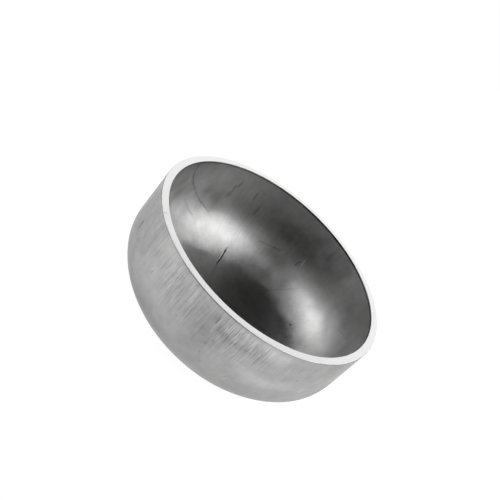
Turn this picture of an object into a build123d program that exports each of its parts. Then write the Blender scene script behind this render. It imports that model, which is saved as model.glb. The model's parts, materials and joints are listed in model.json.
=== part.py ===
"""Butt-weld pipe cap, NPS 12 (DN 300), schedule 40.

The cap is one seamless shell, pressed from a single steel plate: a short cylindrical skirt that is welded to the pipe's
end, and a 2:1 ellipsoidal dome that closes it. The weld face is machined square, at full wall thickness.

Frame: the origin is the centre of the weld face, +Z is the axis and points out of the mouth, towards the pipe. The dome
hangs below, so the crown is the lowest point. Sizes are in millimetres.
"""

import os

from build123d import *

# Driving dimensions
OUTSIDE_DIAMETER = 323.8  # of the skirt, the same as the pipe's
WALL_THICKNESS = 10.31  # schedule 40
CAP_LENGTH = 152.0  # from the weld face to the outside of the crown
HEAD_RATIO = 2.0  # inside radius over the dome's inside depth
EDGE_BREAK = 0.8  # chamfer that takes the burr off both edges of the weld face

# What follows from them
OUTSIDE_RADIUS = OUTSIDE_DIAMETER / 2
INSIDE_RADIUS = OUTSIDE_RADIUS - WALL_THICKNESS
INSIDE_DOME_DEPTH = INSIDE_RADIUS / HEAD_RATIO
OUTSIDE_DOME_DEPTH = INSIDE_DOME_DEPTH + WALL_THICKNESS
SKIRT_LENGTH = CAP_LENGTH - OUTSIDE_DOME_DEPTH  # from the weld face to the tangent line of the dome


def dome_arc(radius, depth):
    """A quarter ellipse from the axis, at the crown, up to the tangent line, where it has this radius."""
    return EllipticalCenterArc((0, -SKIRT_LENGTH), radius, depth, start_angle=-90, arc_size=90)


def shell_profile():
    """Half of the cap's section, in the XZ plane, from the axis outwards."""
    with BuildSketch(Plane.XZ) as profile:
        with BuildLine():
            outside_dome = dome_arc(OUTSIDE_RADIUS, OUTSIDE_DOME_DEPTH)
            inside_dome = dome_arc(INSIDE_RADIUS, INSIDE_DOME_DEPTH)
            Line(outside_dome @ 0, inside_dome @ 0)
            Polyline(
                outside_dome @ 1,
                (OUTSIDE_RADIUS, -EDGE_BREAK),
                (OUTSIDE_RADIUS - EDGE_BREAK, 0),
                (INSIDE_RADIUS + EDGE_BREAK, 0),
                (INSIDE_RADIUS, -EDGE_BREAK),
                inside_dome @ 1,
            )
        make_face()
    return profile.sketch


def cap_shell():
    """The whole cap, which is one piece of steel."""
    return revolve(shell_profile(), axis=Axis.Z)


def main():
    os.makedirs("parts", exist_ok=True)
    shell = cap_shell()
    shell.label = "cap_shell"
    export_step(shell, "parts/cap_shell.step")
    print(f"skirt {SKIRT_LENGTH:.2f} mm, outside dome depth {OUTSIDE_DOME_DEPTH:.2f} mm")
    print(f"cap_shell volume {shell.volume / 1000:.1f} cm3, box {shell.bounding_box().size}")


main()
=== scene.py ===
"""The looks of the pipe cap: a pressed steel shell with the marks of the press and the lathe, in a studio.

Everything is in metres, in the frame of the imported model: the origin is the centre of the weld face, +Z
points out of the mouth, and the dome hangs below. The shell is described by two charts, one for its outside
and one for its inside. A chart is the skin laid out flat: the distance from the chart's middle is the
distance along the skin from the crown, and the direction is the direction round the axis. It has no seam, so
marks and subdivisions cross it freely.
"""

import json
import math
import random
from dataclasses import dataclass

import bmesh
import bpy
import numpy as np
from mathutils import Matrix, Vector, kdtree, noise


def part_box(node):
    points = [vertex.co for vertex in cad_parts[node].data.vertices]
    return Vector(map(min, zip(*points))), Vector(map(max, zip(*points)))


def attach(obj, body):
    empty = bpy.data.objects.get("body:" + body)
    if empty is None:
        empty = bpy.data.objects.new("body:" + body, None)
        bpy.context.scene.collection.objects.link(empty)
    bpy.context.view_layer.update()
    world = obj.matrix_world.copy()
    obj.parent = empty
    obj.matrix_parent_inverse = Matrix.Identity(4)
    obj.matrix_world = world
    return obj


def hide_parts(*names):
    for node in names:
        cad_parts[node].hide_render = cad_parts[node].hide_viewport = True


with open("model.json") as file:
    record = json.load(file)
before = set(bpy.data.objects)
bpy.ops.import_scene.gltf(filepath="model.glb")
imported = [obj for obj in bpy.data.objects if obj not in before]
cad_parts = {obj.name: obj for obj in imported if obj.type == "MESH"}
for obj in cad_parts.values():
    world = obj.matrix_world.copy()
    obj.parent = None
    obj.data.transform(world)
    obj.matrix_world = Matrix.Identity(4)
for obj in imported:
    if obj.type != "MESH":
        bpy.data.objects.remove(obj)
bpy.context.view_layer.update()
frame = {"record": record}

MM = 0.001

# The shell's own sizes, from the frame
mounts = {mount["name"]: mount for mount in frame["record"]["mounts"]}
crown_corner, mouth_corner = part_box("cap_shell")
OUTSIDE_RADIUS = mounts["skirt_outside"]["dims"]["r_mm"] * MM
INSIDE_RADIUS = mounts["mouth_bore"]["dims"]["r_mm"] * MM
WALL = OUTSIDE_RADIUS - INSIDE_RADIUS
LENGTH = mouth_corner.z - crown_corner.z
INSIDE_DEPTH = INSIDE_RADIUS / 2  # of the 2:1 dome
OUTSIDE_DEPTH = INSIDE_DEPTH + WALL
SKIRT = LENGTH - OUTSIDE_DEPTH
EDGE_ROUND = 0.8 * MM

OUTSIDE, INSIDE = 0, 1
EASE = {OUTSIDE: 5 * MM, INSIDE: 10 * MM}  # how gently the dome runs into the skirt

# The mesh
DOME_RINGS = 48
SKIRT_STEP = 4 * MM
ARRIS_STEPS = 5
SUPPORT = 0.3 * MM  # from the arris to the next row on each side
FACE_STEPS = 3

# How finely the section's curves are worked out
DOME_POINTS = 2001
ARRIS_POINTS = 41
SKIN_STEP = 0.25 * MM
NORMAL_STEP = 0.02 * MM


def blended_wall(radius, depth, ease):
    """Radius and height along a dome that is a quarter ellipse, eased into the straight skirt."""
    turn = np.linspace(0, math.pi / 2, DOME_POINTS)
    r = np.append(radius * np.sin(turn), radius)
    z = np.append(-SKIRT - depth * np.cos(turn), -EDGE_ROUND)
    s = np.concatenate([[0.0], np.cumsum(np.hypot(np.diff(r), np.diff(z)))])
    reach = round(3 * ease / SKIN_STEP)
    even = np.arange(-reach, round(s[-1] / SKIN_STEP) + reach + 1) * SKIN_STEP
    mirrored = np.abs(even)
    beyond = np.clip(even - s[-1], 0, None)
    r = np.interp(mirrored, s, r) * np.sign(even)
    z = np.interp(mirrored, s, z) + beyond
    weight = np.exp(-0.5 * (np.arange(-reach, reach + 1) * SKIN_STEP / ease) ** 2)
    weight /= weight.sum()
    r, z = np.convolve(r, weight, "valid"), np.convolve(z, weight, "valid")
    r[0] = 0
    return r, z


class Profile:
    """One side of the shell's section, by distance along the skin from the crown."""

    def __init__(self, side):
        self.out = 1 if side == OUTSIDE else -1
        radius = OUTSIDE_RADIUS if side == OUTSIDE else INSIDE_RADIUS
        depth = OUTSIDE_DEPTH if side == OUTSIDE else INSIDE_DEPTH
        wall_r, wall_z = blended_wall(radius, depth, EASE[side])
        turn = np.linspace(0, math.pi / 2, ARRIS_POINTS)
        arris_r = radius - self.out * EDGE_ROUND * (1 - np.cos(turn))
        arris_z = -EDGE_ROUND * (1 - np.sin(turn))
        middle = (OUTSIDE_RADIUS + INSIDE_RADIUS) / 2
        wall = wall_z < -EDGE_ROUND - 0.5 * MM
        self.r = np.concatenate([wall_r[wall], arris_r, [middle]])
        self.z = np.concatenate([wall_z[wall], arris_z, [0.0]])
        self.s = np.concatenate([[0.0], np.cumsum(np.hypot(np.diff(self.r), np.diff(self.z)))])
        self.dome_end = np.interp(-SKIRT, self.z, self.s)
        self.arris_start = self.s[wall.sum()]
        self.arris_end = self.s[-2]
        self.end = self.s[-1]

    def at(self, s):
        """Radius, height and outward normal at these distances from the crown."""
        r, z = np.interp(s, self.s, self.r), np.interp(s, self.s, self.z)
        before, after = np.clip(s - NORMAL_STEP, 0, self.end), np.clip(s + NORMAL_STEP, 0, self.end)
        dr = np.interp(after, self.s, self.r) - np.interp(before, self.s, self.r)
        dz = np.interp(after, self.s, self.z) - np.interp(before, self.s, self.z)
        size = np.hypot(dr, dz)
        return r, z, self.out * dz / size, -self.out * dr / size

    def rows(self):
        """The distances of the rows past the dome: the skirt, the rounded arris and half the weld face."""
        skirt_end = self.arris_start - SUPPORT
        count = round((skirt_end - self.dome_end) / SKIRT_STEP)
        skirt = np.linspace(self.dome_end, skirt_end, count + 1)[1:]
        arris = np.linspace(self.arris_start, self.arris_end, ARRIS_STEPS + 1)
        face = np.linspace(self.arris_end + SUPPORT, self.end, FACE_STEPS + 1)
        return np.concatenate([skirt, arris, face])

    def below(self, depth):
        """The distance along the skin of the point this far below the mouth."""
        return float(np.interp(-depth, self.z, self.s))


PROFILES = (Profile(OUTSIDE), Profile(INSIDE))


# ------------------------------------------------------------------------------------------- the marks

@dataclass
class Mark:
    """A groove in the skin along a smooth route.

    Each point of the route is a direction in degrees and a distance below the mouth in mm.
    """

    side: int
    route: list
    width: float  # mm
    depth: float  # mm, and a raised ridge if it is negative
    soil: float  # how dark the dirt in it is, and bright metal if it is negative
    fade: float  # mm, over which it runs out at each end


MARKS = [
    # The curved mark that the edge of the press tool left inside, and its fainter neighbour
    Mark(INSIDE, [(167, 3), (165.5, 19), (161, 37), (154.5, 54), (147, 71), (137.5, 85)],
         2.3, 0.34, 0.85, 12),
    Mark(INSIDE, [(158, 69), (153, 83), (146.5, 94)], 2.6, 0.20, 0.5, 10),
    # Drag marks down the far wall
    Mark(INSIDE, [(131, 19), (131.6, 34)], 2.2, 0.16, 0.8, 5),
    Mark(INSIDE, [(133, 29), (132.6, 41), (133.6, 55)], 2.4, 0.22, 1.0, 7),
    Mark(INSIDE, [(120, 24), (119.5, 41)], 2.6, 0.14, 0.7, 7),
    Mark(INSIDE, [(114, 42), (114, 62)], 2.6, 0.16, 0.7, 8),
    # The deep scratch on the dome, and its shallow tail
    Mark(INSIDE, [(117.5, 110), (120, 121), (123, 126)], 1.9, 0.5, 1.3, 5),
    Mark(INSIDE, [(122.5, 125), (124, 128), (128, 133)], 0.9, 0.14, 0.5, 10),
    # Handling scratches and dents
    Mark(INSIDE, [(103, 87), (93, 81), (88, 77)], 1.2, 0.16, 0.5, 8),
    Mark(INSIDE, [(75.5, 55), (74.5, 74)], 1.6, -0.2, -0.9, 6),
    Mark(INSIDE, [(76.7, 66), (77.5, 78)], 1.4, 0.2, 0.8, 5),
    Mark(INSIDE, [(75, 117), (68, 100), (58, 64)], 1.0, 0.12, 0.45, 14),
    Mark(INSIDE, [(33, 69), (25, 58), (16, 48)], 1.2, 0.12, 0.4, 12),
    # The outside: a dent in the outer edge, a dark groove, and the longest draw marks
    Mark(OUTSIDE, [(-137.8, 0), (-137.2, 0.6)], 2.2, 0.45, 0.2, 1.5),
    Mark(OUTSIDE, [(-35, 0.2), (-31, 0.2), (-27, 0.3)], 0.9, -0.16, -0.5, 8),
    Mark(OUTSIDE, [(-146.5, 36), (-146, 53)], 2.2, 0.35, 1.2, 6),
    Mark(OUTSIDE, [(-88, 9), (-88, 21)], 1.3, 0.25, 0.6, 4),
    Mark(OUTSIDE, [(-112, 3), (-112, 15)], 1.2, -0.12, -0.8, 5),
    Mark(OUTSIDE, [(-101, 4), (-101.2, 27)], 1.1, -0.12, -0.8, 9),
]

# Pits in the plate: side, direction in degrees, mm below the mouth, mm wide
PITS = [
    (INSIDE, 43.4, 114, 2.0),
    (INSIDE, 41, 38, 1.7),
    (INSIDE, 50, 51, 1.7),
    (OUTSIDE, -86, 48, 2.5),
    (OUTSIDE, -84.5, 39, 2.2),
    (OUTSIDE, -71, 70, 1.6),
    (OUTSIDE, -83, 73, 1.5),
    (OUTSIDE, -45, 36, 1.7),
    (OUTSIDE, -101, 51, 1.5),
    (OUTSIDE, -144, 55, 1.8),
]
PIT_LENGTH = 2  # mm
PIT_SLANT = 0.3  # degrees from end to end, so that the route isn't a single line of the chart
PIT_FADE = 1.5
PIT_DEPTH = 0.15  # of its width
PIT_SOIL = 0.45  # for each mm of its width

# Marks that are spread at random over the outside
BACK_FROM, BACK_TO = -25, 195  # degrees, where the marks placed one by one leave off
BACK_PITS = 14
DRAW_MARKS = 32
RAISED_SHARE = 0.4  # of the draw marks
random.seed(5)


def pit_marks():
    """The pits as short grooves, and more of them round the back."""
    back = [(OUTSIDE, random.uniform(BACK_FROM, BACK_TO), random.uniform(15, 120), random.uniform(1.2, 2.1))
            for _ in range(BACK_PITS)]
    made = []
    for side, turn, below, wide in PITS + back:
        route = [(turn, below - PIT_LENGTH / 2), (turn + PIT_SLANT, below + PIT_LENGTH / 2)]
        made.append(Mark(side, route, wide, PIT_DEPTH * wide, PIT_SOIL * wide, PIT_FADE))
    return made


def draw_marks():
    """Shallow grooves straight down the outside of the skirt, all round, as the drawing die leaves them."""
    made = []
    for k in range(DRAW_MARKS):
        turn = k * 360 / DRAW_MARKS + random.uniform(-4, 4)
        top = random.uniform(2, 14)
        bottom = top + random.uniform(14, 42)
        sign = -1 if random.random() < RAISED_SHARE else 1
        route = [(turn, top), (turn + random.uniform(-0.5, 0.5), bottom)]
        width = random.uniform(0.9, 1.4)
        depth = sign * random.uniform(0.05, 0.11)
        soil = sign * random.uniform(0.3, 0.6)
        made.append(Mark(OUTSIDE, route, width, depth, soil, 9))
    return made


@dataclass
class Patch:
    """A patch of the skin with a soft edge."""

    side: int
    turn: float  # degrees round the axis
    below: float  # mm below the mouth, along the axis
    wide: float  # mm, at the skirt
    tall: float  # mm, along the skin
    amount: float


# Darker (negative) and lighter patches: stains, and inside also painted highlights and painted shade
STAINS_AND_PAINTED_LIGHT = [
    # Outside: the mottled dark band, the pale stain under it, and the scuffed edge
    Patch(OUTSIDE, -75, 25, 60, 10, -0.16),
    Patch(OUTSIDE, -90, 42, 40, 60, -0.24),
    Patch(OUTSIDE, -55, 52, 84, 16, 0.26),
    Patch(OUTSIDE, -61, 12, 22, 18, 0.24),
    Patch(OUTSIDE, -72, 6, 80, 10, 0.20),
    Patch(OUTSIDE, -120, 8, 34, 20, 0.26),
    Patch(OUTSIDE, -104, 8, 24, 16, 0.10),
    Patch(OUTSIDE, -110, 57, 60, 16, 0.08),
    Patch(OUTSIDE, -121, 30, 24, 40, 0.08),
    Patch(OUTSIDE, -118, 88, 110, 30, -0.16),
    Patch(OUTSIDE, -152, 40, 80, 90, -0.20),
    Patch(OUTSIDE, -28, 8, 50, 30, -0.12),
    Patch(OUTSIDE, -58, 8, 20, 16, 0.20),
    Patch(OUTSIDE, -121, 44, 34, 30, 0.08),
    # Inside: darker and lighter patches, with painted highlights that widen the knuckle's two reflections and
    # painted shade along the dish's edge below them
    Patch(INSIDE, 84, 48, 130, 64, -0.34),
    Patch(INSIDE, 92, 90, 66, 26, -0.22),
    Patch(INSIDE, 62, 22, 60, 60, -0.28),
    Patch(INSIDE, 67, 22, 7, 24, -0.18),
    Patch(INSIDE, 96, 22, 44, 28, 0.22),
    Patch(INSIDE, 150, 28, 150, 66, 0.42),
    # Painted highlights that widen the knuckle's two reflections
    Patch(INSIDE, 156, 74, 70, 40, 0.80),
    Patch(INSIDE, 33, 68, 100, 38, 0.85),
    # Painted shade along the dish's edge, below the reflections
    Patch(INSIDE, 42, 119, 80, 18, -0.45),
    Patch(INSIDE, 94, 112, 70, 26, -0.50),
    Patch(INSIDE, 142, 121, 70, 14, -0.24),
    # More painted highlight round the reflections, painted shade at the dish's edge, and a lighter patch on
    # the far wall
    Patch(INSIDE, 116, 103, 36, 20, 0.14),
    Patch(INSIDE, 129, 68, 54, 20, 0.26),
    Patch(INSIDE, 28, 112, 30, 20, -0.24),
    Patch(INSIDE, 87, 22, 40, 26, 0.14),
    Patch(INSIDE, 36, 64, 26, 24, 0.16),
]
# Where the draw marks are strong
SCOURED = [
    Patch(OUTSIDE, -114, 24, 110, 54, 0.7),
    Patch(OUTSIDE, -74, 18, 74, 38, 0.4),
    Patch(OUTSIDE, -93, 10, 18, 24, -0.5),
    Patch(INSIDE, 135, 40, 190, 80, 0.9),
    Patch(INSIDE, 112, 90, 70, 44, 1.0),
]
# Where the die chattered: short scores in a row
CHATTERED = [
    Patch(OUTSIDE, -76, 13.5, 74, 25, 1.2),
    Patch(OUTSIDE, -80, 40, 50, 26, 0.45),
    Patch(OUTSIDE, -108, 22, 60, 40, 0.3),
]
BACK_PATCHES = 16
WAVER_SIZE = 16 * MM  # of the noise that makes a patch's edge uneven


def back_patches(amounts, tall):
    """Patches spread round the outside where the ones placed one by one leave off."""
    made = []
    for k in range(BACK_PATCHES):
        turn = BACK_FROM + (k + 0.5) * (BACK_TO - BACK_FROM) / BACK_PATCHES + random.uniform(-6, 6)
        wide = random.uniform(30, 90)
        below = random.uniform(12, 75)
        made.append(Patch(OUTSIDE, turn, below, wide, random.uniform(*tall), random.choice(amounts)))
    return made


def patch_cover(patches, side, s, turn, spots):
    """The sum of the patches at these places on one side. Noise makes their edges uneven."""
    waver = np.array([noise.noise(spot / WAVER_SIZE) for spot in spots])
    cover = np.zeros(len(s))
    for patch in patches:
        if patch.side != side:
            continue
        round_axis = (turn - math.radians(patch.turn) + math.pi) % math.tau - math.pi
        across = round_axis * OUTSIDE_RADIUS / (patch.wide * MM / 2)
        along = (s - PROFILES[side].below(patch.below * MM)) / (patch.tall * MM / 2)
        cover += patch.amount * np.exp(-(np.hypot(across, along) * (1 + 0.5 * waver)) ** 2)
    return cover


def smooth_route(points, step):
    """Points this far apart on a smooth curve through the given ones, and their distances along it."""
    points = np.array(points)
    length = np.concatenate([[0.0], np.cumsum(np.linalg.norm(np.diff(points, axis=0), axis=1))])
    dense = np.linspace(0, length[-1], max(2, math.ceil(length[-1] / step) + 1))
    degree = len(points) - 1
    if degree < 3:
        fits = [np.polynomial.Polynomial.fit(length, column, degree) for column in points.T]
        return np.stack([fit(dense) for fit in fits], axis=1), dense
    slopes = np.gradient(points, length, axis=0)
    span = np.clip(np.searchsorted(length, dense, side="right") - 1, 0, degree - 1)
    gap = (length[span + 1] - length[span])[:, None]
    t = (dense[:, None] - length[span][:, None]) / gap
    start, end = points[span], points[span + 1]
    bend = (2 * t**3 - 3 * t**2 + 1) * start + (t**3 - 2 * t**2 + t) * gap * slopes[span]
    return bend + (3 * t**2 - 2 * t**3) * end + (t**3 - t**2) * gap * slopes[span + 1], dense


def on_skin(side, s, turn):
    r, z, _, _ = PROFILES[side].at(s)
    return np.stack([r * np.cos(turn), r * np.sin(turn), z], axis=-1)


ROUTE_STEP = 0.2 * MM
END_STRENGTH = 0.12  # how much of a groove is left at its very ends, as a share of its fade
BREAKS_SIZE = 5 * MM  # of the noise that makes a groove deeper and shallower along its route


class MarkFinder:
    """The marks of one side as a cloud of points along their routes."""

    def __init__(self, side, marks):
        self.marks = [mark for mark in marks if mark.side == side]
        places, self.owner, self.strength = [], [], []
        for index, mark in enumerate(self.marks):
            corners = [(PROFILES[side].below(depth * MM), math.radians(turn)) for turn, depth in mark.route]
            s, turn = zip(*corners)
            route, along = smooth_route(on_skin(side, np.array(s), np.array(turn)), ROUTE_STEP)
            ends = np.minimum(along, along[-1] - along) / (mark.fade * MM)
            places.extend(route)
            self.owner.extend([index] * len(route))
            uneven = np.array([0.85 + 0.5 * noise.noise(Vector(spot) / BREAKS_SIZE) for spot in route])
            self.strength.extend(uneven * np.sin(np.clip(ends + END_STRENGTH, 0, 1) * math.pi / 2))
        self.tree = kdtree.KDTree(len(places))
        for index, place in enumerate(places):
            self.tree.insert(place, index)
        self.tree.balance()

    def near(self, place):
        """The nearest mark, how far off its route is, and its strength there."""
        _, index, gap = self.tree.find(place)
        return self.marks[self.owner[index]], gap, self.strength[index]


# The section of a groove, across it in widths of the mark
CUT_FALL = 2.5
SOIL_FALL = 2
LIP_HEIGHT, LIP_PLACE, LIP_FALL = 0.22, 1.15, 12
GROOVE_REACH = 3


def groove(mark, gap, strength):
    """How far the skin is pushed in here, with the low lip that a groove throws up, and the soil."""
    across = gap / (mark.width * MM)
    if across >= GROOVE_REACH:
        return 0, 0
    cut = math.exp(-CUT_FALL * across**2)
    lip = LIP_HEIGHT * math.exp(-LIP_FALL * (across - LIP_PLACE) ** 2)
    return mark.depth * MM * strength * (cut - lip), mark.soil * strength * math.exp(-SOIL_FALL * across**2)


# -------------------------------------------------------------------------------------------- the mesh

def dome_grid():
    """The x and y of a square grid bent to a disk of radius 1, with the same spacing all round its edge."""
    turn = np.linspace(-math.pi / 4, math.pi / 4, 2 * DOME_RINGS + 1)
    along, across = np.meshgrid(turn, turn, indexing="ij")
    return math.sqrt(2) * np.sin(along) * np.cos(across), math.sqrt(2) * np.sin(across) * np.cos(along)


def edge_loop():
    """The grid points on the disk's edge, in order round the axis from -45 degrees."""
    n = 2 * DOME_RINGS
    side_a = [(n, j) for j in range(n)]
    side_b = [(n - i, n) for i in range(n)]
    side_c = [(0, n - j) for j in range(n)]
    side_d = [(i, 0) for i in range(n)]
    return side_a + side_b + side_c + side_d


def build_side(bm, side, layers, last_ring):
    """Adds one side's vertices and faces, and returns its last ring. The inside ends on the outside's."""
    profile = PROFILES[side]
    x, y = dome_grid()
    n = 2 * DOME_RINGS

    def vertex(p, q):
        v = bm.verts.new((0, 0, 0))
        v[layers["p"]], v[layers["q"]], v[layers["side"]] = p, q, side
        return v

    def face(*corners):
        f = bm.faces.new(corners if side == OUTSIDE else corners[::-1])
        f[layers["face_side"]] = side

    scale = profile.dome_end
    grid = [[vertex(x[i, j] * scale, y[i, j] * scale) for j in range(n + 1)] for i in range(n + 1)]
    for i in range(n):
        for j in range(n):
            face(grid[i][j], grid[i][j + 1], grid[i + 1][j + 1], grid[i + 1][j])
    ring = [grid[i][j] for i, j in edge_loop()]
    count = len(ring)
    turns = [math.atan2(v[layers["q"]], v[layers["p"]]) for v in ring]
    for s in profile.rows():
        if side == INSIDE and s == profile.end:
            new = last_ring
        else:
            new = [vertex(s * math.cos(t), s * math.sin(t)) for t in turns]
        for k in range(count):
            face(ring[k], ring[(k + 1) % count], new[(k + 1) % count], new[k])
        ring = new
    return ring


def chart_arrays(bm, layers):
    verts = list(bm.verts)
    p = np.array([v[layers["p"]] for v in verts])
    q = np.array([v[layers["q"]] for v in verts])
    side = np.array([v[layers["side"]] for v in verts])
    return verts, np.hypot(p, q), np.arctan2(q, p), side


def place(bm, layers):
    """Moves every vertex to its place on the plain shell."""
    verts, s, turn, side = chart_arrays(bm, layers)
    for which in (OUTSIDE, INSIDE):
        chosen = np.flatnonzero(side == which)
        for index, spot in zip(chosen, on_skin(which, s[chosen], turn[chosen])):
            verts[index].co = spot


# How far from a mark to split faces, and the longest edge left there, both in widths of the mark
REFINEMENTS = ((2.2, 1.2), (1.7, 0.7), (1.2, 0.45))


def refine(bm, layers, finders):
    """Splits the faces near the marks until a groove's width has several faces across it."""
    def splits(edge):
        """Whether both ends lie on one chart, so that a point between them has a place on it."""
        return edge.verts[0][layers["side"]] == edge.verts[1][layers["side"]]

    for reach, widest in REFINEMENTS:
        place(bm, layers)
        edges = set()
        for f in bm.faces:
            longest = max(edge.calc_length() for edge in f.edges)
            mark, gap, _ = finders[f[layers["face_side"]]].near(f.calc_center_median())
            allowed = widest * mark.width * MM
            if longest > allowed and gap < reach * mark.width * MM + longest / 2:
                edges.update(edge for edge in f.edges if splits(edge) and edge.calc_length() > allowed / 2)
        bmesh.ops.subdivide_edges(bm, edges=list(edges), cuts=1, use_grid_fill=True)
    place(bm, layers)


# The waviness of the pressed skin: two sizes of wave, their heights, and how it dies out towards the mouth
SLOW_WAVE, SLOW_HEIGHT = 70 * MM, 0.30 * MM
QUICK_WAVE, QUICK_HEIGHT = 22 * MM, 0.045 * MM
CALM_DEPTH, CALM_SHARE = 14 * MM, 0.10
WAVE_SHIFT = {OUTSIDE: Vector((3.1, 7.7, 1.3)), INSIDE: Vector((9.4, 2.2, 5.8))}


def unevenness(spot, side):
    """The slow waviness of the skin here, in metres along its normal."""
    slow = SLOW_HEIGHT * noise.noise(spot / SLOW_WAVE + WAVE_SHIFT[side])
    quick = QUICK_HEIGHT * noise.noise(spot / QUICK_WAVE + WAVE_SHIFT[side])
    below = min(1, -spot.z / CALM_DEPTH)
    return (CALM_SHARE + (1 - CALM_SHARE) * below) * (slow + quick)


def dress(bm, layers, finders):
    """Pushes the skin in and out along its normal: the waviness, and the grooves."""
    verts, s, turn, side = chart_arrays(bm, layers)
    for which in (OUTSIDE, INSIDE):
        chosen = np.flatnonzero(side == which)
        _, _, normal_r, normal_z = PROFILES[which].at(s[chosen])
        for index, nr, nz in zip(chosen, normal_r, normal_z):
            v = verts[index]
            mark, gap, strength = finders[which].near(v.co)
            push, soil = groove(mark, gap, strength)
            v[layers["soil"]] = soil
            normal = Vector((nr * math.cos(turn[index]), nr * math.sin(turn[index]), nz))
            v.co += normal * (unevenness(v.co, which) - push)


def paint_patches(bm, layers):
    """Keeps the stains, the painted highlights and shade, and the scoured places as values at the vertices,
    for the materials.
    """
    verts, s, turn, side = chart_arrays(bm, layers)
    stains_and_painted_light = STAINS_AND_PAINTED_LIGHT + back_patches((-0.12, -0.08, 0.08, 0.12), (14, 36))
    scoured = SCOURED + back_patches((0.5, 0.9), (30, 50))
    chattered = CHATTERED + back_patches((0, 0, 0.5, 0.9), (16, 30))
    for which in (OUTSIDE, INSIDE):
        chosen = np.flatnonzero(side == which)
        spots = [verts[index].co for index in chosen]
        for name, patches in (("stain_and_painted_light", stains_and_painted_light), ("scour", scoured), ("chatter", chattered)):
            for index, value in zip(chosen, patch_cover(patches, which, s[chosen], turn[chosen], spots)):
                verts[index][layers[name]] = value


# The two charts as disks on the texture square
UV_RADIUS = 0.29
UV_MIDDLE = {OUTSIDE: 0.295, INSIDE: 0.705}


def paint_chart(bm, layers):
    """Keeps each vertex's place on its chart for the materials, and lays both charts out as UVs."""
    uv = bm.loops.layers.uv.new("OFBake")
    scale = UV_RADIUS / max(profile.end for profile in PROFILES)
    for v in bm.verts:
        p, q = v[layers["p"]], v[layers["q"]]
        s = math.hypot(p, q)
        spread = OUTSIDE_RADIUS / max(s, 1e-9)
        v[layers["chart"]] = (p * spread, q * spread, s)
    for f in bm.faces:
        side = f[layers["face_side"]]
        for loop in f.loops:
            v = loop.vert
            spread = scale
            if side == INSIDE and v[layers["side"]] == OUTSIDE:
                spread *= PROFILES[INSIDE].end / PROFILES[OUTSIDE].end
            middle = UV_MIDDLE[side]
            loop[uv].uv = (middle + v[layers["p"]] * spread, middle + v[layers["q"]] * spread)


SKIN, LINING, CUT = 0, 1, 2  # the material slots: outside, inside and machined
BRIGHT_ARRIS = {OUTSIDE: 0.55 * MM, INSIDE: 0.01 * MM}  # how far down each arris the machined steel goes


def choose_material(f, layers):
    """Machined steel where the whole face is past the skin's part of the arris."""
    side = f[layers["face_side"]]
    past = []
    for v in f.verts:
        s = math.hypot(v[layers["p"]], v[layers["q"]])
        past.append(s - PROFILES[v[layers["side"]]].arris_end)
    if min(past) > -BRIGHT_ARRIS[side]:
        return CUT
    return SKIN if side == OUTSIDE else LINING


def shell_mesh():
    """The whole shell as one closed mesh, with its marks, stains and painted light, charts and material
    slots.
    """
    bm = bmesh.new()
    names = ("p", "q", "soil", "stain_and_painted_light", "scour", "chatter")
    layers = {name: bm.verts.layers.float.new(name) for name in names}
    layers["side"] = bm.verts.layers.int.new("side")
    layers["face_side"] = bm.faces.layers.int.new("face_side")
    layers["chart"] = bm.verts.layers.float_vector.new("chart")
    ring = build_side(bm, OUTSIDE, layers, None)
    build_side(bm, INSIDE, layers, ring)
    marks = MARKS + pit_marks() + draw_marks()
    finders = {side: MarkFinder(side, marks) for side in (OUTSIDE, INSIDE)}
    refine(bm, layers, finders)
    dress(bm, layers, finders)
    paint_patches(bm, layers)
    paint_chart(bm, layers)
    for f in bm.faces:
        f.smooth = True
        f.material_index = choose_material(f, layers)
    mesh = bpy.data.meshes.new("pipe_cap_shell")
    bm.to_mesh(mesh)
    bm.free()
    return mesh


# --------------------------------------------------------------------------------------- the materials

def fade_node(tree, value, start, end, low, high):
    """A smooth step from low to high between start and end."""
    node = tree.nodes.new("ShaderNodeMapRange")
    node.interpolation_type = "SMOOTHSTEP"
    for name, number in (("From Min", start), ("From Max", end), ("To Min", low), ("To Max", high)):
        node.inputs[name].default_value = number
    tree.links.new(value, node.inputs["Value"])
    return node.outputs["Result"]


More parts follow.
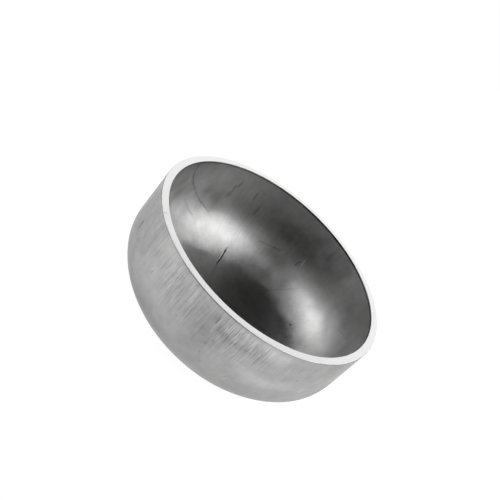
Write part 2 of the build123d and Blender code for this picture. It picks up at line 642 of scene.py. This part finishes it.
class Shader:
    """A material's node tree, with short ways to add the nodes that the three steels use."""

    def __init__(self, name):
        self.material = bpy.data.materials.new(name)
        self.material.use_nodes = True
        self.tree = self.material.node_tree
        self.surface = self.tree.nodes["Principled BSDF"]
        self.surface.inputs["Metallic"].default_value = 1
        self.place = self.tree.nodes.new("ShaderNodeTexCoord").outputs["Object"]
        self.chart = self.painted("chart", "Vector")

    def painted(self, name, output="Fac"):
        """A value kept at the vertices."""
        node = self.tree.nodes.new("ShaderNodeAttribute")
        node.attribute_name = name
        return node.outputs[output]

    def link(self, value, socket):
        if isinstance(value, bpy.types.NodeSocket):
            self.tree.links.new(value, socket)
        else:
            socket.default_value = value

    def math(self, operation, *values):
        node = self.tree.nodes.new("ShaderNodeMath")
        node.operation = operation
        for value, socket in zip(values, node.inputs):
            self.link(value, socket)
        return node.outputs[0]

    def product(self, first, second):
        return self.math("MULTIPLY", first, second)

    def mix(self, base, *parts):
        """The base plus each part. A part is a value, or a value and how strongly it counts."""
        for part in parts:
            base = self.math("ADD", base, self.product(*part) if isinstance(part, tuple) else part)
        return base

    def noise(self, coordinates, scale, detail=2.0, roughness=0.5, shift=(0, 0, 0)):
        """Noise about zero. Scale is in waves per metre: one number, or one for each axis."""
        mapping = self.tree.nodes.new("ShaderNodeMapping")
        mapping.inputs["Scale"].default_value = scale if isinstance(scale, tuple) else (scale,) * 3
        mapping.inputs["Location"].default_value = shift
        self.link(coordinates, mapping.inputs["Vector"])
        node = self.tree.nodes.new("ShaderNodeTexNoise")
        node.inputs["Scale"].default_value = 1
        node.inputs["Detail"].default_value = detail
        node.inputs["Roughness"].default_value = roughness
        self.link(mapping.outputs[0], node.inputs["Vector"])
        return self.math("SUBTRACT", node.outputs["Fac"], 0.5)

    def ramp(self, value, start, end, low=0.0, high=1.0):
        return fade_node(self.tree, value, start, end, low, high)

    def along(self):
        """The distance along the skin from the crown."""
        split = self.tree.nodes.new("ShaderNodeSeparateXYZ")
        self.link(self.chart, split.inputs[0])
        return split.outputs["Z"]

    def neutral(self, grey):
        """Steel's colour at this grey, very slightly warm."""
        node = self.tree.nodes.new("ShaderNodeCombineColor")
        for name, tint in (("Red", 1.0), ("Green", 1.0), ("Blue", 0.997)):
            self.link(self.product(grey, tint), node.inputs[name])
        return node.outputs[0]

    def finish(self, grey, roughness, height, relief):
        self.link(self.neutral(grey), self.surface.inputs["Base Color"])
        self.link(roughness, self.surface.inputs["Roughness"])
        bump = self.tree.nodes.new("ShaderNodeBump")
        bump.inputs["Distance"].default_value = relief
        bump.inputs["Strength"].default_value = 1
        self.link(height, bump.inputs["Height"])
        self.link(bump.outputs["Normal"], self.surface.inputs["Normal"])
        return self.material


# Waves per metre, round the skin and along it
FINE_DRAWS = (540, 540, 22)
BROAD_DRAWS = (260, 260, 10)
SCRATCHES = (430, 430, 20)
SCORES = (560, 560, 46)
DRAGS = (300, 300, 20)

PLATE_GREY, DISH_GREY, TURNED_GREY = 0.39, 0.38, 0.90
PLATE_RELIEF, DISH_RELIEF, TURNED_RELIEF = 0.12 * MM, 0.12 * MM, 0.05 * MM


def draw_streaks(s, skirt_end):
    """The outside's streaks: fine and broad draws, dark scratches and bright lips, and the die's scores."""
    fine = s.noise(s.chart, FINE_DRAWS, 4, 0.7)
    broad = s.noise(s.chart, BROAD_DRAWS, 3, 0.6, (5, 2, 8))
    scratch = s.ramp(s.noise(s.chart, SCRATCHES, 2, 0.5, (2, 9, 4)), 0.05, 0.11)
    lip = s.ramp(s.noise(s.chart, SCRATCHES, 2, 0.5, (2.4, 9.4, 4)), 0.06, 0.12)
    score = s.ramp(s.noise(s.chart, SCORES, 1, 0.5, (6, 1, 4)), 0.02, 0.12)
    ridge = s.ramp(s.noise(s.chart, SCORES, 1, 0.5, (6.5, 1.5, 4)), 0.02, 0.12)
    skirt = s.ramp(s.along(), skirt_end - 72 * MM, skirt_end - 40 * MM, 0.12, 1.0)
    drawn = s.product(skirt, s.mix(0.14, (s.painted("scour"), 0.85)))
    draws = s.product(drawn, s.mix(0.0, (fine, 0.6), (broad, 0.5), (scratch, -0.20), (lip, 0.30)))
    scores = s.product(s.painted("chatter"), s.mix(0.0, (score, -0.22), (ridge, 0.26)))
    return s.mix(draws, scores)


def skin_steel():
    """The outside: blasted grey plate with draw marks down the skirt, stains, and small pits."""
    s = Shader("blasted_steel")
    skirt_end = PROFILES[OUTSIDE].arris_start
    streaks = draw_streaks(s, skirt_end)
    cloud = s.noise(s.place, 17, 3, 0.55)
    blotch = s.noise(s.place, (75, 75, 95), 4, 0.6, (4, 4, 4))
    grain = s.noise(s.place, 900, 2, 0.6)
    dirty = s.ramp(s.noise(s.place, 150, 3, 0.6, (7, 3, 9)), 0.13, 0.24)
    # Painted shade: a thin dark line just below the outer arris
    edge = s.ramp(s.along(), skirt_end - 0.5 * MM, skirt_end + 0.2 * MM, 0.0, -0.36)
    # Painted shade: the outside is darker over the dome
    dome = s.ramp(s.along(), skirt_end - 92 * MM, skirt_end - 62 * MM, -0.15, 0.0)
    change = s.mix(1.0, streaks, s.painted("stain_and_painted_light"), edge, dome, (cloud, 0.34), (blotch, 0.36),
                   (grain, 0.14), (dirty, -0.16), (s.painted("soil"), -0.45))
    roughness = s.mix(0.50, (cloud, 0.12), (grain, 0.15), (streaks, -0.15))
    height = s.mix(0.0, (streaks, 1.2), (grain, 0.55), (blotch, 0.4))
    return s.finish(s.product(change, PLATE_GREY), roughness, height, PLATE_RELIEF)


def lining_steel():
    """The inside: smoother steel, with painted shade darkening the dish and the straight wall, and the
    knuckle between them painted brighter where the reflections fall.
    """
    s = Shader("pressed_steel")
    drag = s.noise(s.chart, DRAGS, 4, 0.65, (1, 8, 3))
    cloud = s.noise(s.place, 20, 3, 0.55, (3, 1, 7))
    smudge = s.noise(s.place, 70, 4, 0.6, (8, 6, 2))
    pebble = s.noise(s.place, 300, 2, 0.55, (5, 9, 1))
    grain = s.noise(s.place, 750, 2, 0.6)
    mouth = PROFILES[INSIDE].arris_start
    # Painted shade and painted highlight: the grey is darker in the dish and on the straight wall, and
    # lighter on the knuckle between them, to follow the lamps' reflections; noise makes the dish's edge
    # uneven
    wall = s.ramp(s.along(), mouth - 90 * MM, mouth - 48 * MM)
    uneven = s.mix(s.along(), (smudge, 14 * MM), (drag, 8 * MM))
    dish_shade_edge = s.ramp(uneven, mouth - 144 * MM, mouth - 121 * MM)
    # Painted shade: a dark band on the inside wall just below the inner arris
    edge = s.ramp(s.along(), mouth - 2.6 * MM, mouth - 0.8 * MM, 0.0, -0.72)
    worn = s.product(s.mix(0.25, (s.painted("scour"), 0.75)), drag)
    change = s.mix(1.0, edge, s.painted("stain_and_painted_light"), (worn, 0.45), (cloud, 0.40), (smudge, 0.42),
                   (pebble, 0.16), (grain, 0.12), (s.painted("soil"), -0.60))
    grey = s.product(change, s.mix(DISH_GREY, (dish_shade_edge, 0.18), (wall, -0.13)))
    roughness = s.mix(0.32, (dish_shade_edge, 0.16), (wall, -0.05), (cloud, 0.10), (grain, 0.10))
    height = s.mix(0.0, (worn, 0.6), (grain, 0.35), (smudge, 0.6), (pebble, 0.5))
    return s.finish(grey, roughness, height, DISH_RELIEF)


def cut_steel():
    """The weld face: freshly turned bright metal, with the lathe's fine rings."""
    s = Shader("turned_steel")
    flat = s.tree.nodes.new("ShaderNodeVectorMath")
    flat.operation = "MULTIPLY"
    flat.inputs[1].default_value = (1, 1, 0)
    s.link(s.place, flat.inputs[0])
    radius = s.tree.nodes.new("ShaderNodeVectorMath")
    radius.operation = "LENGTH"
    s.link(flat.outputs[0], radius.inputs[0])
    turned = s.tree.nodes.new("ShaderNodeTexNoise")
    turned.noise_dimensions = "1D"
    turned.inputs["Scale"].default_value = 2600
    turned.inputs["Detail"].default_value = 2
    s.link(radius.outputs["Value"], turned.inputs["W"])
    rings = s.math("SUBTRACT", turned.outputs["Fac"], 0.5)
    smudge = s.noise(s.place, 60, 3, 0.6)
    grain = s.noise(s.place, 1100, 2, 0.6)
    change = s.mix(1.0, (rings, 0.05), (smudge, 0.06), (s.painted("soil"), -0.25))
    roughness = s.mix(0.36, (smudge, 0.12), (grain, 0.10))
    height = s.mix(0.0, (rings, 0.5), (grain, 0.25))
    return s.finish(s.product(change, TURNED_GREY), roughness, height, TURNED_RELIEF)


# ------------------------------------------------------------------------------------------ the studio

STUDIO = 12.0  # metres to the floor's edge
BACKDROP = 0.98 * STUDIO
FLOOR_WHITE = 0.16
FLOOR_GLOW = 0.93  # near the cap
GLOW_START, GLOW_END = 0.5, 2.5  # metres from the cap, between which the floor's glow rises to full white
HORIZON_GLOW, SKY_DARK = 0.9, 0.02
BAND_LOW, BAND_HIGH = 0.02, 0.24  # the sines of the elevations between which the horizon's glow fades
FLOOR_SIDES = 96


def floor_material():
    """Pale, and glowing, so that it stays an even white with a soft shadow under the cap."""
    material = bpy.data.materials.new("studio_floor")
    material.use_nodes = True
    tree = material.node_tree
    surface = tree.nodes["Principled BSDF"]
    surface.inputs["Base Color"].default_value = (FLOOR_WHITE,) * 3 + (1,)
    surface.inputs["Roughness"].default_value = 1
    surface.inputs["Specular IOR Level"].default_value = 0
    surface.inputs["Emission Color"].default_value = (1, 1, 1, 1)
    place = tree.nodes.new("ShaderNodeTexCoord")
    distance = tree.nodes.new("ShaderNodeVectorMath")
    distance.operation = "LENGTH"
    tree.links.new(place.outputs["Object"], distance.inputs[0])
    glow = fade_node(tree, distance.outputs["Value"], GLOW_START, GLOW_END, FLOOR_GLOW, 1)
    tree.links.new(glow, surface.inputs["Emission Strength"])
    return material


def backdrop_material():
    """Plain white light."""
    material = bpy.data.materials.new("studio_backdrop")
    material.use_nodes = True
    nodes = material.node_tree.nodes
    nodes.clear()
    glow = nodes.new("ShaderNodeEmission")
    output = nodes.new("ShaderNodeOutputMaterial")
    material.node_tree.links.new(glow.outputs[0], output.inputs[0])
    return material


def make_floor():
    """A round floor at the height of the cap's crown."""
    mesh = bpy.data.meshes.new("studio_floor")
    turns = [k * math.tau / FLOOR_SIDES for k in range(FLOOR_SIDES)]
    ring = [(STUDIO * math.cos(turn), STUDIO * math.sin(turn), -LENGTH) for turn in turns]
    mesh.from_pydata(ring, [], [list(range(FLOOR_SIDES))])
    mesh.materials.append(floor_material())
    floor = bpy.data.objects.new("studio_floor", mesh)
    bpy.context.scene.collection.objects.link(floor)


def make_backdrop():
    """A pale dome round the studio that only the camera sees, so it doesn't light the cap."""
    bm = bmesh.new()
    bmesh.ops.create_uvsphere(bm, u_segments=64, v_segments=32, radius=BACKDROP)
    mesh = bpy.data.meshes.new("studio_backdrop")
    bm.to_mesh(mesh)
    bm.free()
    mesh.materials.append(backdrop_material())
    backdrop = bpy.data.objects.new("studio_backdrop", mesh)
    bpy.context.scene.collection.objects.link(backdrop)
    backdrop.visible_diffuse = backdrop.visible_glossy = backdrop.visible_transmission = False
    backdrop.visible_volume_scatter = backdrop.visible_shadow = False


def make_world():
    """A dark room with a pale band at the horizon, which the skirt reflects."""
    world = bpy.data.worlds.new("studio")
    bpy.context.scene.world = world
    world.use_nodes = True
    tree = world.node_tree
    place = tree.nodes.new("ShaderNodeTexCoord")
    split = tree.nodes.new("ShaderNodeSeparateXYZ")
    tree.links.new(place.outputs["Generated"], split.inputs[0])
    fade = fade_node(tree, split.outputs["Z"], BAND_LOW, BAND_HIGH, HORIZON_GLOW, SKY_DARK)
    tree.links.new(fade, tree.nodes["Background"].inputs["Strength"])
    tree.nodes["Background"].inputs["Color"].default_value = (1, 1, 1, 1)


SOFT_BOX_DISTANCE = 2.4


def soft_box(name, turn, rise, across, tall, radiance):
    """A large even light that faces the cap, with its direction and its two widths in degrees."""
    turn, rise = math.radians(turn), math.radians(rise)
    data = bpy.data.lights.new(name, "AREA")
    data.shape = "RECTANGLE"
    data.size = 2 * SOFT_BOX_DISTANCE * math.tan(math.radians(across / 2))
    data.size_y = 2 * SOFT_BOX_DISTANCE * math.tan(math.radians(tall / 2))
    data.energy = radiance * math.pi * data.size * data.size_y
    light = bpy.data.objects.new(name, data)
    bpy.context.scene.collection.objects.link(light)
    away = Vector((math.cos(turn) * math.cos(rise), math.sin(turn) * math.cos(rise), math.sin(rise)))
    light.location = SOFT_BOX_DISTANCE * away
    light.rotation_mode = "QUATERNION"
    light.rotation_quaternion = away.to_track_quat("Z", "Y")
    light.visible_camera = False


def make_lights():
    soft_box("left_box", turn=186, rise=28, across=52, tall=44, radiance=2.85)
    soft_box("right_box", turn=348, rise=37, across=58, tall=58, radiance=2.60)
    soft_box("back_box", turn=90, rise=30, across=84, tall=34, radiance=1.12)


CAMERA_DISTANCE = 5.417 * OUTSIDE_RADIUS  # from the mouth's centre
CAMERA_ELEVATION = math.radians(29.62)
CAMERA_ROLL = math.radians(42.61)
CAMERA_SENSOR, CAMERA_LENS = 36, 51.68  # mm
AIM = Vector((-25.4, 0, -23.5)) * MM  # a little to one side of the mouth's centre and below it


def make_camera():
    """Looks down into the mouth, rolled so that the cap leans over and its mouth faces up to the right."""
    data = bpy.data.cameras.new("camera")
    data.sensor_width = CAMERA_SENSOR
    data.lens = CAMERA_LENS
    camera = bpy.data.objects.new("camera", data)
    bpy.context.scene.collection.objects.link(camera)
    towards = Vector((0, -math.cos(CAMERA_ELEVATION), math.sin(CAMERA_ELEVATION)))
    camera.location = CAMERA_DISTANCE * towards
    forward = (AIM - camera.location).normalized()
    level = forward.cross(Vector((0, 0, 1))).normalized()
    upright = level.cross(forward)
    right = level * math.cos(CAMERA_ROLL) + upright * math.sin(CAMERA_ROLL)
    camera.rotation_mode = "QUATERNION"
    camera.rotation_quaternion = Matrix((right, right.cross(forward), -forward)).transposed().to_quaternion()
    bpy.context.scene.camera = camera


make_camera()
make_world()
make_floor()
make_backdrop()
make_lights()
bpy.context.scene.view_settings.view_transform = "Standard"

shell = bpy.data.objects.new("pipe_cap_shell", shell_mesh())
bpy.context.scene.collection.objects.link(shell)
for steel in (skin_steel(), lining_steel(), cut_steel()):
    shell.data.materials.append(steel)
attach(shell, "root")
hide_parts("cap_shell")
